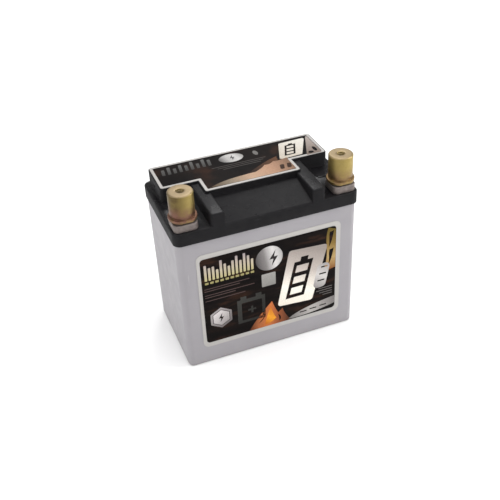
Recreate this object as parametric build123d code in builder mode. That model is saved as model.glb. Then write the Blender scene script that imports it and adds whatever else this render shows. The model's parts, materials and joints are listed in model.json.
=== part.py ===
"""A sealed 12 V lead-acid motorcycle battery with absorbed-glass-mat cells, in millimetres.

+X runs along the battery's length, -Y is the labelled front and +Z is up. The origin is the middle of
the underside. The case holds six cells in a row. The lid carries a raised block with the relief valves
under a push-fit T-shaped cover, and a brass post screws into the lead terminal at each front corner.
"""

import math
import os

from build123d import *

os.makedirs("parts", exist_ok=True)

# Case
CASE_LENGTH = 149.0
CASE_WIDTH = 83.6
CASE_TOP = 128.0
CASE_DRAFT = 0.4  # how far each side leans in from the top to the foot
CASE_CORNER = 5.0
CASE_FOOT_RADIUS = 2.0
CASE_FLOOR = 3.0
CASE_WALL = 3.0
PARTITION = 1.6
PARTITION_TOP = 125.0
CELLS = 6
CELL_ROW = CASE_LENGTH - 2 * CASE_WALL
CELL_WIDTH = (CELL_ROW - (CELLS - 1) * PARTITION) / CELLS
CELL_DEPTH = CASE_WIDTH - 2 * CASE_WALL
CELL_PITCH = CELL_WIDTH + PARTITION
CELL_CORNER = 2.0
PLATE_REST_HEIGHT = 2.0
PLATE_REST_WIDTH = 4.0
PLATE_REST_SPACING = 44.0

# Lid
LID_LENGTH = 151.0
LID_WIDTH = 87.0
LID_CORNER = 6.0
LID_FRONT = -LID_WIDTH / 2
RIM_BOTTOM = 121.4
RIM_TOP = 132.1
RIM_EDGE = 1.2
LID_WALL = 2.5
LID_UNDERSIDE = RIM_TOP - LID_WALL
CASE_CLEARANCE = 0.1
TONGUE = 1.0
BLOCK_TOP = 142.7
BLOCK_LENGTH = 141.0
BLOCK_FRONT = 4.7
BLOCK_REAR = 41.7
BLOCK_DEPTH = BLOCK_REAR - BLOCK_FRONT
BLOCK_MIDDLE = (BLOCK_FRONT + BLOCK_REAR) / 2
BLOCK_CORNER = 3.0
PLATFORM_LENGTH = 92.8
PLATFORM_CORNER = 2.5
TRAY_LENGTH = 71.0
TRAY_REAR = -13.3
TRAY_REAR_HEIGHT = 138.3
SHOULDER_LENGTH = (PLATFORM_LENGTH - TRAY_LENGTH) / 2
SHOULDER_EDGE = 1.5
CORE_TOP = BLOCK_TOP - LID_WALL
CORE_WIDTH = 14.0
CORE_CELLS = 4

# Relief valves, under the cover
TROUGH_LENGTH = 135.0
TROUGH_DEPTH = 30.0
TROUGH_FLOOR = 133.5
SPIGOT_RADIUS = 5.0
SPIGOT_HOLE = 2.5
SPIGOT_TOP = 139.5
CAP_RADIUS = 6.8
CAP_CLEARANCE = 0.08
CAP_CROWN = 1.5
CAP_BOTTOM = 134.6
CAP_TOP = SPIGOT_TOP + CAP_CROWN
CAP_LIFT = 0.8
VENT_HEIGHT = 137.6
VENT_RADIUS = 1.5
ARRESTOR_RADIUS = 3.0
ARRESTOR_THICKNESS = 2.0
ARRESTOR_X = (TROUGH_LENGTH + ARRESTOR_THICKNESS) / 2

# Cover
COVER_THICKNESS = 1.5
COVER_TOP = BLOCK_TOP + COVER_THICKNESS
COVER_EDGE = 0.5
TAB_LENGTH = 80.0
TAB_FRONT = TRAY_REAR
RAIL_DEPTH = 2.5
RAIL_WIDTH = 1.6
RAIL_LENGTH = 112.0
RAIL_CLEARANCE = 0.3
RAIL_SPACING = TROUGH_DEPTH - 2 * RAIL_CLEARANCE - RAIL_WIDTH
CAP_STOP_RADIUS = 4.0
CAP_STOP_BOTTOM = CAP_TOP + CAP_LIFT + 0.3

# Labels
LABEL_THICKNESS = 0.25
FRONT_LABEL_LENGTH = 121.0
FRONT_LABEL_HEIGHT = 91.6
FRONT_LABEL_MIDDLE = 62.7
FRONT_LABEL_CORNER = 5.0
TOP_LABEL_MARGIN = 0.9

# Terminals
POST_X = 64.2
POST_Y = -31.9
POST_RADIUS = 9.6
POST_TOP = 162.0
POST_CHAMFER = 0.8
COLLAR_RADIUS = 11.0
COLLAR_HEIGHT = 2.5
COLLAR_FLATS = 20.0
STUD_RADIUS = 4.0
STUD_LENGTH = 11.4
STUD_CHAMFER = 0.6
THREAD_CLEARANCE = 0.08
TAPPED_HOLE_RADIUS = 2.5
TAPPED_HOLE_DEPTH = 14.0
TAPPED_HOLE_MOUTH = 3.3
TAPPED_HOLE_MOUTH_ANGLE = 90
PAD_SIDE = 19.0
PAD_CORNER = 4.0
PAD_HEIGHT = 6.0
PAD_EDGE = 0.6
PAD_TOP = RIM_TOP + PAD_HEIGHT
STEM_RADIUS = 5.8
STEM_BOTTOM = 118.0
BORE_DEPTH = 12.5
SEAL_RADIUS = 7.6
WASHER_INNER = 4.4
WASHER_OUTER = 7.4
WASHER_WIDTH = WASHER_OUTER - WASHER_INNER
WASHER_THICKNESS = 1.4
WASHER_GAP = 1.2
WASHER_GAP_SLANT = 20.0
WASHER_TOP = PAD_TOP + WASHER_THICKNESS
COLLAR_TOP = WASHER_TOP + COLLAR_HEIGHT
RISER_WIDTH = 2 * STEM_RADIUS
RISER_FOOT_HEIGHT = 3.0
MARK_X = 59.0
MARK_Y = -11.0
MARK_SIZE = 8.0
MARK_STROKE = 2.0
MARK_HEIGHT = 0.6

# Cells
POSITIVE_PLATE = 2.0
NEGATIVE_PLATE = 1.4
SEPARATOR = 0.85
POSITIVE_COUNT = 4
NEGATIVE_COUNT = 5
PLATE_STEP = POSITIVE_PLATE + NEGATIVE_PLATE + 2 * SEPARATOR
PLATE_DEPTH = 74.0
PLATE_FOOT = CASE_FLOOR + PLATE_REST_HEIGHT
PLATE_TOP = 99.0
MAT_OFFSET = (POSITIVE_PLATE + SEPARATOR) / 2
MAT_DEPTH = 77.0
MAT_TOP = 101.5
LUG_DEPTH = 10.0
STRAP_Y = 24.0
STRAP_DEPTH = 14.0
STRAP_LENGTH = 21.6
STRAP_BOTTOM = 105.0
STRAP_TOP = 110.0
TOMBSTONE_TOP = 119.0
TOMBSTONE_DEPTH = 12.0
TOMBSTONE_THICKNESS = 3.0
WELD_HEIGHT = 114.2
WELD_RADIUS = 4.0

UPWARD = (Align.CENTER, Align.CENTER, Align.MIN)
RIGHTWARD = (1, 0, 0)


def save(builder, name):
    """Labels a finished piece and writes it to its own STEP file."""
    builder.part.label = name
    export_step(builder.part, f"parts/{name}.step")


def cell_x(cell):
    """The middle of a cell along the length, counted from 0 at the positive end."""
    return (cell - (CELLS - 1) / 2) * CELL_PITCH


def strap_y(cell, positive):
    """Where a plate group's strap lies: groups alternate from front to rear so that neighbours meet."""
    return -STRAP_Y if (cell % 2 == 0) == positive else STRAP_Y


def weld_places():
    """The middle of each weld through a partition, between one cell's negative and the next's positive."""
    return [
        Plane((cell_x(cell) + CELL_PITCH / 2, strap_y(cell, positive=False), WELD_HEIGHT), z_dir=RIGHTWARD)
        for cell in range(CELLS - 1)
    ]


def draw_cover_outline(margin):
    """Draws the T of the cover in the current sketch, drawn in by a margin all round."""
    tab_depth = BLOCK_MIDDLE - TAB_FRONT - margin
    with Locations((0, BLOCK_MIDDLE)):
        RectangleRounded(BLOCK_LENGTH - 2 * margin, BLOCK_DEPTH - 2 * margin, BLOCK_CORNER - margin)
    with Locations((0, BLOCK_MIDDLE - tab_depth / 2)):
        RectangleRounded(TAB_LENGTH - 2 * margin, tab_depth, PLATFORM_CORNER - margin)


# ------------------------------------------------------------------ case
with BuildPart() as case:
    with BuildSketch():
        RectangleRounded(CASE_LENGTH - 2 * CASE_DRAFT, CASE_WIDTH - 2 * CASE_DRAFT, CASE_CORNER)
    extrude(amount=CASE_TOP, taper=-math.degrees(math.atan(CASE_DRAFT / CASE_TOP)))
    fillet(case.faces().sort_by(Axis.Z)[0].edges(), CASE_FOOT_RADIUS)
    with BuildSketch(Plane.XY.offset(CASE_FLOOR)):
        with GridLocations(CELL_PITCH, 0, CELLS, 1):
            RectangleRounded(CELL_WIDTH, CELL_DEPTH, CELL_CORNER)
    extrude(amount=CASE_TOP, mode=Mode.SUBTRACT)
    with BuildSketch(Plane.XY.offset(PARTITION_TOP)):
        RectangleRounded(CELL_ROW, CELL_DEPTH, CELL_CORNER)
    extrude(amount=CASE_TOP, mode=Mode.SUBTRACT)
    with Locations((0, 0, CASE_FLOOR)):
        with GridLocations(CELL_PITCH, PLATE_REST_SPACING, CELLS, 2):
            Box(CELL_WIDTH, PLATE_REST_WIDTH, PLATE_REST_HEIGHT, align=UPWARD)
    with Locations(*weld_places()):
        Cylinder(WELD_RADIUS, PARTITION, mode=Mode.SUBTRACT)
save(case, "case")

# ------------------------------------------------------------------ lid
with BuildPart() as lid:
    with BuildSketch(Plane.XY.offset(RIM_BOTTOM)):
        RectangleRounded(LID_LENGTH, LID_WIDTH, LID_CORNER)
    extrude(amount=RIM_TOP - RIM_BOTTOM)
    fillet(lid.faces().sort_by(Axis.Z)[-1].edges(), RIM_EDGE)

    # the platform between the terminals, with a tray that runs down to the front edge
    platform_depth = BLOCK_MIDDLE - LID_FRONT
    with BuildSketch(Plane.XY.offset(RIM_TOP - RIM_EDGE)):
        with Locations((0, BLOCK_MIDDLE - platform_depth / 2)):
            RectangleRounded(PLATFORM_LENGTH, platform_depth, PLATFORM_CORNER)
    extrude(amount=BLOCK_TOP - RIM_TOP + RIM_EDGE)
    with BuildSketch(Plane.YZ):
        with BuildLine():
            Polyline(
                (LID_FRONT, RIM_TOP - RIM_EDGE),
                (LID_FRONT + RIM_EDGE, RIM_TOP),
                (TRAY_REAR, TRAY_REAR_HEIGHT),
                (TRAY_REAR, COVER_TOP),
                (LID_FRONT, COVER_TOP),
                close=True,
            )
        make_face()
    extrude(amount=TRAY_LENGTH / 2, both=True, mode=Mode.SUBTRACT)
    shoulder_tops = lid.edges().group_by(Axis.Z)[-1].filter_by_position(
        Axis.Y, LID_FRONT - SHOULDER_EDGE, TRAY_REAR - SHOULDER_EDGE
    )
    fillet(shoulder_tops, SHOULDER_EDGE)

    # the raised block, the trough for the valves, and a spigot over each cell
    with BuildSketch(Plane.XY.offset(RIM_TOP - RIM_EDGE)):
        with Locations((0, BLOCK_MIDDLE)):
            RectangleRounded(BLOCK_LENGTH, BLOCK_DEPTH, BLOCK_CORNER)
    extrude(amount=BLOCK_TOP - RIM_TOP + RIM_EDGE)
    with BuildSketch(Plane.XY.offset(TROUGH_FLOOR)):
        with Locations((0, BLOCK_MIDDLE)):
            RectangleRounded(TROUGH_LENGTH, TROUGH_DEPTH, BLOCK_CORNER)
    extrude(amount=BLOCK_TOP, mode=Mode.SUBTRACT)
    with BuildSketch(Plane.XY.offset(TROUGH_FLOOR)):
        with Locations((0, BLOCK_MIDDLE)):
            with GridLocations(CELL_PITCH, 0, CELLS, 1):
                Circle(SPIGOT_RADIUS)
    extrude(amount=SPIGOT_TOP - TROUGH_FLOOR)

    # the groove that takes the case wall, and a closed head space over each cell
    with BuildSketch(Plane.XY.offset(RIM_BOTTOM)):
        RectangleRounded(CASE_LENGTH + 2 * CASE_CLEARANCE, CASE_WIDTH + 2 * CASE_CLEARANCE, CASE_CORNER)
    extrude(amount=PARTITION_TOP - RIM_BOTTOM, mode=Mode.SUBTRACT)
    with BuildSketch(Plane.XY.offset(PARTITION_TOP)):
        RectangleRounded(CASE_LENGTH + 2 * CASE_CLEARANCE, CASE_WIDTH + 2 * CASE_CLEARANCE, CASE_CORNER)
        RectangleRounded(
            CELL_ROW - 2 * CASE_CLEARANCE, CELL_DEPTH - 2 * CASE_CLEARANCE, CELL_CORNER, mode=Mode.SUBTRACT
        )
    extrude(amount=CASE_TOP - PARTITION_TOP, mode=Mode.SUBTRACT)
    with BuildSketch(Plane.XY.offset(PARTITION_TOP)):
        with GridLocations(CELL_PITCH, 0, CELLS, 1):
            Rectangle(CELL_WIDTH - 2 * TONGUE, CELL_DEPTH - 2 * TONGUE)
    extrude(amount=LID_UNDERSIDE - PARTITION_TOP, mode=Mode.SUBTRACT)

    # cored-out pockets under the shoulders and under the middle of the platform
    with BuildSketch(Plane.XY.offset(LID_UNDERSIDE)):
        with Locations((0, (LID_FRONT + TRAY_REAR) / 2)):
            with GridLocations(TRAY_LENGTH + SHOULDER_LENGTH, 0, 2, 1):
                Rectangle(SHOULDER_LENGTH - 2 * LID_WALL, TRAY_REAR - LID_FRONT - 4 * LID_WALL)
        with Locations((0, (TRAY_REAR + BLOCK_FRONT) / 2)):
            with GridLocations(CELL_PITCH, 0, CORE_CELLS, 1):
                Rectangle(CORE_WIDTH, BLOCK_FRONT - TRAY_REAR - 2 * LID_WALL)
    extrude(amount=CORE_TOP - LID_UNDERSIDE, mode=Mode.SUBTRACT)

    # holes: a well up each spigot, the two terminals, and a vent at each end of the trough
    with BuildSketch(Plane.XY.offset(LID_UNDERSIDE)):
        with Locations((0, BLOCK_MIDDLE)):
            with GridLocations(CELL_PITCH, 0, CELLS, 1):
                Circle(SPIGOT_HOLE)
        with Locations((-POST_X, POST_Y), (POST_X, POST_Y)):
            Circle(SEAL_RADIUS)
    extrude(amount=SPIGOT_TOP - LID_UNDERSIDE, mode=Mode.SUBTRACT)
    for side in (-1, 1):
        with Locations(Plane((side * ARRESTOR_X, BLOCK_MIDDLE, VENT_HEIGHT), z_dir=RIGHTWARD)):
            Cylinder(ARRESTOR_RADIUS, ARRESTOR_THICKNESS, mode=Mode.SUBTRACT)
        with Locations(Plane((side * BLOCK_LENGTH / 2, BLOCK_MIDDLE, VENT_HEIGHT), z_dir=RIGHTWARD)):
            Cylinder(VENT_RADIUS, BLOCK_LENGTH - TROUGH_LENGTH, mode=Mode.SUBTRACT)

    # moulded polarity marks behind the terminals: plus on the left, minus on the right
    with BuildSketch(Plane.XY.offset(RIM_TOP)):
        with Locations((-MARK_X, MARK_Y), (MARK_X, MARK_Y)):
            Rectangle(MARK_SIZE, MARK_STROKE)
        with Locations((-MARK_X, MARK_Y)):
            Rectangle(MARK_STROKE, MARK_SIZE)
    extrude(amount=MARK_HEIGHT)
save(lid, "lid")

# ------------------------------------------------------------------ cover over the valves
with BuildPart() as vent_cover:
    with BuildSketch(Plane.XY.offset(BLOCK_TOP)):
        draw_cover_outline(margin=0)
    extrude(amount=COVER_THICKNESS)
    fillet(vent_cover.faces().sort_by(Axis.Z)[-1].edges(), COVER_EDGE)
    with BuildSketch(Plane.XY.offset(BLOCK_TOP - RAIL_DEPTH)):
        with Locations((0, BLOCK_MIDDLE)):
            with GridLocations(0, RAIL_SPACING, 1, 2):
                Rectangle(RAIL_LENGTH, RAIL_WIDTH)
    extrude(amount=RAIL_DEPTH)
    with BuildSketch(Plane.XY.offset(CAP_STOP_BOTTOM)):
        with Locations((0, BLOCK_MIDDLE)):
            with GridLocations(CELL_PITCH, 0, CELLS, 1):
                Circle(CAP_STOP_RADIUS)
    extrude(amount=BLOCK_TOP - CAP_STOP_BOTTOM)
save(vent_cover, "vent_cover")

# ------------------------------------------------------------------ relief valve caps
for cell in range(CELLS):
    with BuildPart() as valve_cap:
        with BuildSketch(Plane.XY.offset(CAP_BOTTOM)):
            with Locations((cell_x(cell), BLOCK_MIDDLE)):
                Circle(CAP_RADIUS)
        extrude(amount=CAP_TOP - CAP_BOTTOM)
        chamfer(valve_cap.faces().sort_by(Axis.Z)[-1].edges(), CAP_CROWN / 2)
        with BuildSketch(Plane.XY.offset(CAP_BOTTOM)):
            with Locations((cell_x(cell), BLOCK_MIDDLE)):
                Circle(SPIGOT_RADIUS + CAP_CLEARANCE)
        extrude(amount=SPIGOT_TOP - CAP_BOTTOM, mode=Mode.SUBTRACT)
    save(valve_cap, f"valve_cap_{cell + 1}")

# ------------------------------------------------------------------ flame arrestor discs
for side, end in ((-1, "left"), (1, "right")):
    with BuildPart() as flame_arrestor:
        with Locations(Plane((side * ARRESTOR_X, BLOCK_MIDDLE, VENT_HEIGHT), z_dir=RIGHTWARD)):
            Cylinder(ARRESTOR_RADIUS, ARRESTOR_THICKNESS)
    save(flame_arrestor, f"flame_arrestor_{end}")

# ------------------------------------------------------------------ labels
front_face_y = -CASE_WIDTH / 2 + CASE_DRAFT * (1 - FRONT_LABEL_MIDDLE / CASE_TOP)
front_face = Plane(
    origin=(0, front_face_y, FRONT_LABEL_MIDDLE), x_dir=RIGHTWARD, z_dir=(0, -CASE_TOP, -CASE_DRAFT)
)
with BuildPart() as front_label:
    with BuildSketch(front_face):
        RectangleRounded(FRONT_LABEL_LENGTH, FRONT_LABEL_HEIGHT, FRONT_LABEL_CORNER)
    extrude(amount=LABEL_THICKNESS)
save(front_label, "front_label")

with BuildPart() as top_label:
    with BuildSketch(Plane.XY.offset(COVER_TOP)):
        draw_cover_outline(TOP_LABEL_MARGIN)
    extrude(amount=LABEL_THICKNESS)
save(top_label, "top_label")

# ------------------------------------------------------------------ terminals
for side, pole in ((-1, "positive"), (1, "negative")):
    post_place = (side * POST_X, POST_Y)

    # brass post: a threaded stud below, a collar with two spanner flats, a barrel, and a tapped hole
    with BuildPart() as post:
        with BuildSketch(Plane.XY.offset(WASHER_TOP - STUD_LENGTH)):
            with Locations(post_place):
                Circle(STUD_RADIUS)
        extrude(amount=STUD_LENGTH)
        chamfer(post.faces().sort_by(Axis.Z)[0].edges(), STUD_CHAMFER)
        with BuildSketch(Plane.XY.offset(WASHER_TOP)):
            with Locations(post_place):
                Circle(COLLAR_RADIUS)
                Rectangle(2 * COLLAR_RADIUS, COLLAR_FLATS, mode=Mode.INTERSECT)
        extrude(amount=COLLAR_HEIGHT)
        with BuildSketch(Plane.XY.offset(COLLAR_TOP)):
            with Locations(post_place):
                Circle(POST_RADIUS)
        extrude(amount=POST_TOP - COLLAR_TOP)
        chamfer(post.faces().sort_by(Axis.Z)[-1].edges(), POST_CHAMFER)
        with Locations((*post_place, POST_TOP)):
            CounterSinkHole(TAPPED_HOLE_RADIUS, TAPPED_HOLE_MOUTH, TAPPED_HOLE_DEPTH, TAPPED_HOLE_MOUTH_ANGLE)
    save(post, f"{pole}_post")

    # split spring washer under the collar
    with BuildPart() as washer:
        with BuildSketch(Plane.XY.offset(PAD_TOP)):
            with Locations(post_place):
                Circle(WASHER_OUTER)
                Circle(WASHER_INNER, mode=Mode.SUBTRACT)
        extrude(amount=WASHER_THICKNESS)
        split_x = post_place[0] + (WASHER_INNER + WASHER_OUTER) / 2
        split_z = PAD_TOP + WASHER_THICKNESS / 2
        with Locations(Location((split_x, POST_Y, split_z), (WASHER_GAP_SLANT, 0, 0))):
            Box(2 * WASHER_WIDTH, WASHER_GAP, 3 * WASHER_THICKNESS, mode=Mode.SUBTRACT)
    save(washer, f"{pole}_washer")

    # cast lead terminal: a square pad on the lid and a bored stem down through it
    with BuildPart() as terminal:
        with BuildSketch(Plane.XY.offset(RIM_TOP)):
            with Locations(post_place):
                RectangleRounded(PAD_SIDE, PAD_SIDE, PAD_CORNER)
        extrude(amount=PAD_HEIGHT)
        fillet(terminal.faces().sort_by(Axis.Z)[-1].edges(), PAD_EDGE)
        with BuildSketch(Plane.XY.offset(STEM_BOTTOM)):
            with Locations(post_place):
                Circle(STEM_RADIUS)
        extrude(amount=RIM_TOP - STEM_BOTTOM)
        with Locations((*post_place, PAD_TOP)):
            Hole(STUD_RADIUS + THREAD_CLEARANCE, BORE_DEPTH)
    save(terminal, f"{pole}_terminal")

    # epoxy ring that seals the stem in the lid
    with BuildPart() as seal:
        with BuildSketch(Plane.XY.offset(LID_UNDERSIDE)):
            with Locations(post_place):
                Circle(SEAL_RADIUS)
                Circle(STEM_RADIUS, mode=Mode.SUBTRACT)
        extrude(amount=RIM_TOP - LID_UNDERSIDE)
    save(seal, f"{pole}_seal")

    # lead riser from the end cell's strap to the stem
    with BuildPart() as riser:
        foot_front = POST_Y - STEM_RADIUS
        foot_depth = STRAP_DEPTH / 2 - STRAP_Y - foot_front
        with BuildSketch(Plane.XY.offset(STRAP_TOP)):
            with Locations((post_place[0], foot_front + foot_depth / 2)):
                RectangleRounded(RISER_WIDTH, foot_depth, CELL_CORNER)
        extrude(amount=RISER_FOOT_HEIGHT)
        with BuildSketch(Plane.XY.offset(STRAP_TOP)):
            with Locations(post_place):
                Circle(STEM_RADIUS)
        extrude(amount=STEM_BOTTOM - STRAP_TOP)
    save(riser, f"{pole}_riser")

# ------------------------------------------------------------------ plate groups and mats
for cell in range(CELLS):
    middle = cell_x(cell)
    for pole, positive, thickness, count, neighbour in (
        ("positive", True, POSITIVE_PLATE, POSITIVE_COUNT, -1),
        ("negative", False, NEGATIVE_PLATE, NEGATIVE_COUNT, 1),
    ):
        group_y = strap_y(cell, positive)
        with BuildPart() as plate_group:
            with Locations((middle, 0, PLATE_FOOT)):
                with GridLocations(PLATE_STEP, 0, count, 1):
                    Box(thickness, PLATE_DEPTH, PLATE_TOP - PLATE_FOOT, align=UPWARD)
            with Locations((middle, group_y, PLATE_TOP)):
                with GridLocations(PLATE_STEP, 0, count, 1):
                    Box(thickness, LUG_DEPTH, STRAP_BOTTOM - PLATE_TOP, align=UPWARD)
            with Locations((middle, group_y, STRAP_BOTTOM)):
                Box(STRAP_LENGTH, STRAP_DEPTH, STRAP_TOP - STRAP_BOTTOM, align=UPWARD)
            if 0 <= cell + neighbour < CELLS:
                upright_x = middle + neighbour * (CELL_WIDTH - TOMBSTONE_THICKNESS) / 2
                with Locations((upright_x, group_y, STRAP_BOTTOM)):
                    Box(TOMBSTONE_THICKNESS, TOMBSTONE_DEPTH, TOMBSTONE_TOP - STRAP_BOTTOM, align=UPWARD)
        save(plate_group, f"{pole}_plates_{cell + 1}")

    with BuildPart() as separators:
        with Locations((middle - MAT_OFFSET, 0, PLATE_FOOT), (middle + MAT_OFFSET, 0, PLATE_FOOT)):
            with GridLocations(PLATE_STEP, 0, POSITIVE_COUNT, 1):
                Box(SEPARATOR, MAT_DEPTH, MAT_TOP - PLATE_FOOT, align=UPWARD)
    save(separators, f"separator_mats_{cell + 1}")

# ------------------------------------------------------------------ welds between neighbouring cells
with BuildPart() as connectors:
    with Locations(*weld_places()):
        Cylinder(WELD_RADIUS, PARTITION)
save(connectors, "intercell_connectors")
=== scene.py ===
import json
import math

import bmesh
import bpy
from mathutils import Matrix, Vector

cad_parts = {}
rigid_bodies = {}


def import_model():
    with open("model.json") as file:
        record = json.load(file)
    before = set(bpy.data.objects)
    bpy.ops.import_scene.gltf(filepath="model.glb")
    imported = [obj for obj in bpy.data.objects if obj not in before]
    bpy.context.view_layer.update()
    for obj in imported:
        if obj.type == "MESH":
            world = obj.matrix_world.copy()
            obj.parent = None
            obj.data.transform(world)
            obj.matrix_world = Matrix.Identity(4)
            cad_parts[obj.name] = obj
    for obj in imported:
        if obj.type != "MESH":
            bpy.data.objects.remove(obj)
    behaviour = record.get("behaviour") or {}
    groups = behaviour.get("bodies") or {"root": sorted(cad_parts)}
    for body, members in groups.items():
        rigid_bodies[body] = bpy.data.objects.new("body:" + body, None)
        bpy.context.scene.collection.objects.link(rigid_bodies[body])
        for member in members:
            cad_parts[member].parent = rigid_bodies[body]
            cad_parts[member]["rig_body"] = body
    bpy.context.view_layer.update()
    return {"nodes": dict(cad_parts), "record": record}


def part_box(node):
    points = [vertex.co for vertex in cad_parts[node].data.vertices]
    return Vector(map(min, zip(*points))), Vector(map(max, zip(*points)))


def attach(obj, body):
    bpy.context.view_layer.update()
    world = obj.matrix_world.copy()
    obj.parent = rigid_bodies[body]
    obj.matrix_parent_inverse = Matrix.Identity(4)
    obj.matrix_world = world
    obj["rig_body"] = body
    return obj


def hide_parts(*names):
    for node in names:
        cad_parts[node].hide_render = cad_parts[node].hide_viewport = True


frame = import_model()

MM = 0.001
TURN = 2 * math.pi


# ---------------------------------------------------------------- camera, floor and light
CAMERA_AZIMUTH = math.radians(-19.49)
CAMERA_ELEVATION = math.radians(35.23)
CAMERA_ROLL = math.radians(-3.06)
CAMERA_DISTANCE = 0.64587
CAMERA_TARGET = Vector((-0.00268, -0.00206, 0.07225))
CAMERA_LENS = 55.725
CAMERA_SENSOR = 36.0

FLOOR_PROFILE = ((0.5, 0), (3.0, 0), (5.4, 0), (6.2, 0.08), (6.9, 0.32), (7.3, 0.7), (7.5, 1.2), (7.6, 2.2))
FLOOR_SEGMENTS = 64
# name: (place, size in metres, power in watts)
LAMPS = {
    "left_side": ((-0.9, -0.1, 0.35), 0.7, 2.4),
    "right_side": ((0.9, -0.35, 0.5), 0.35, 5.0),
    "front": ((0.2, -0.9, 0.45), 0.6, 1.2),
    "back": ((0.25, 0.65, 0.85), 0.25, 1.6),
}
SKY_LOW = 0.25
SKY_HIGH = 2.75
SKY_FALL = 4.0


def add_object(name, data):
    """Puts a mesh, light or camera in the scene as an object at the origin."""
    made = bpy.data.objects.new(name, data)
    bpy.context.scene.collection.objects.link(made)
    return made


def make_camera():
    """Looks down on the battery from the front left, tilted a little as the object is framed."""
    back = Vector((
        math.sin(CAMERA_AZIMUTH) * math.cos(CAMERA_ELEVATION),
        -math.cos(CAMERA_AZIMUTH) * math.cos(CAMERA_ELEVATION),
        math.sin(CAMERA_ELEVATION),
    ))
    level = Vector((0, 0, 1)).cross(back).normalized()
    upright = back.cross(level)
    right = level * math.cos(CAMERA_ROLL) + upright * math.sin(CAMERA_ROLL)
    up = upright * math.cos(CAMERA_ROLL) - level * math.sin(CAMERA_ROLL)
    data = bpy.data.cameras.new("camera")
    data.lens = CAMERA_LENS
    data.sensor_width = CAMERA_SENSOR
    camera = add_object("camera", data)
    turn = Matrix((right, up, back)).transposed().to_4x4()
    camera.matrix_world = Matrix.Translation(CAMERA_TARGET + back * CAMERA_DISTANCE) @ turn
    bpy.context.scene.camera = camera


def make_lamp(name, place, size, power):
    """A round soft lamp that points at the middle of the battery."""
    data = bpy.data.lights.new(name, "AREA")
    data.shape = "DISK"
    data.size = size
    data.energy = power
    lamp = add_object(name, data)
    lamp.location = place
    lamp.rotation_mode = "QUATERNION"
    lamp.rotation_quaternion = (CAMERA_TARGET - Vector(place)).to_track_quat("-Z", "Y")


def make_sky():
    """A white sky, brightest overhead and dim near the horizon, as under the ceiling lights of a studio."""
    world = bpy.data.worlds.new("studio")
    world.use_nodes = True
    tree = world.node_tree
    place = tree.nodes.new("ShaderNodeTexCoord")
    parts = tree.nodes.new("ShaderNodeSeparateXYZ")
    strength = tree.nodes.new("ShaderNodeMapRange")
    strength.inputs["To Min"].default_value = SKY_LOW
    strength.inputs["To Max"].default_value = SKY_HIGH
    tree.links.new(place.outputs["Generated"], parts.inputs[0])
    fall = tree.nodes.new("ShaderNodeMath")
    fall.operation = "POWER"
    fall.inputs[1].default_value = SKY_FALL
    tree.links.new(parts.outputs["Z"], fall.inputs[0])
    tree.links.new(fall.outputs[0], strength.inputs["Value"])
    tree.links.new(strength.outputs["Result"], tree.nodes["Background"].inputs["Strength"])
    tree.nodes["Background"].inputs["Color"].default_value = (1, 1, 1, 1)
    bpy.context.scene.world = world


def make_floor():
    """A plain pale floor, far larger than the view, that turns up at its rim as a studio's backdrop does."""
    points = []
    for reach, height in FLOOR_PROFILE:
        for step in range(FLOOR_SEGMENTS):
            angle = step * TURN / FLOOR_SEGMENTS
            points.append((reach * math.cos(angle), reach * math.sin(angle), height))
    faces = [tuple(range(FLOOR_SEGMENTS))]
    for ring in range(len(FLOOR_PROFILE) - 1):
        for step in range(FLOOR_SEGMENTS):
            first = ring * FLOOR_SEGMENTS + step
            after = ring * FLOOR_SEGMENTS + (step + 1) % FLOOR_SEGMENTS
            faces.append((first, first + FLOOR_SEGMENTS, after + FLOOR_SEGMENTS, after))
    mesh = bpy.data.meshes.new("floor")
    mesh.from_pydata(points, [], faces)
    mesh.shade_smooth()
    finish = Finish("floor", roughness=0.7)
    finish.colour(finish.mix(finish.noise(400), (0.90, 0.90, 0.90, 1), (0.92, 0.92, 0.92, 1)))
    mesh.materials.append(finish.material)
    add_object("floor", mesh)


def make_studio():
    """Sky, lamps and floor, shown with their plain colours."""
    bpy.context.scene.view_settings.view_transform = "Standard"
    make_sky()
    for name, (place, size, power) in LAMPS.items():
        make_lamp(name, place, size, power)
    make_floor()


# ---------------------------------------------------------------- materials
def srgb(red, green, blue):
    """A display colour, 0 to 255, as the linear colour that the shader takes."""
    shares = (red / 255, green / 255, blue / 255)
    linear = [c / 12.92 if c <= 0.04045 else ((c + 0.055) / 1.055) ** 2.4 for c in shares]
    return (*linear, 1)


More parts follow.
